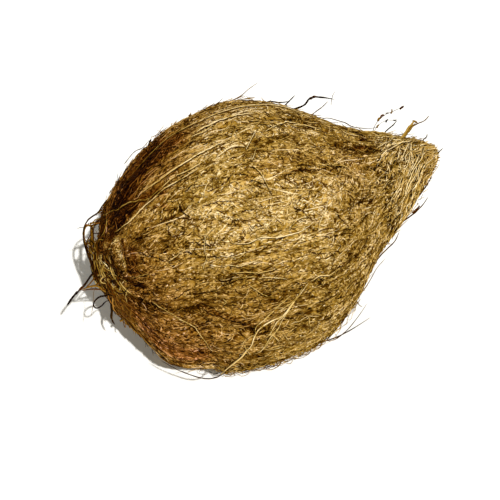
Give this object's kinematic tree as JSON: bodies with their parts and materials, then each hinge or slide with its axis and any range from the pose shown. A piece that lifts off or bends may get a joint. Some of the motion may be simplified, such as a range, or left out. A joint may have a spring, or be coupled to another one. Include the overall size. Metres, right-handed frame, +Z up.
{
  "type": "coconut",
  "caption": "Semi-husked coconut lying on its side: a matted fibre body combed lengthwise into a bent tuft, with a tangle of loose fibre at the blunt end.",
  "frame": {"origin": "middle of the small flat spot under the belly, where the fruit rests", "axes": "+Z up, +X along the fruit towards the tuft, +Y to its upper side in a view from the front"},
  "size_m": [0.167, 0.1116, 0.1044],
  "materials": {
    "husk": "matte, matted brown coir fibre"
  },
  "bodies": {
    "root": {"coconut": "husk"}
  },
  "joints": []
}
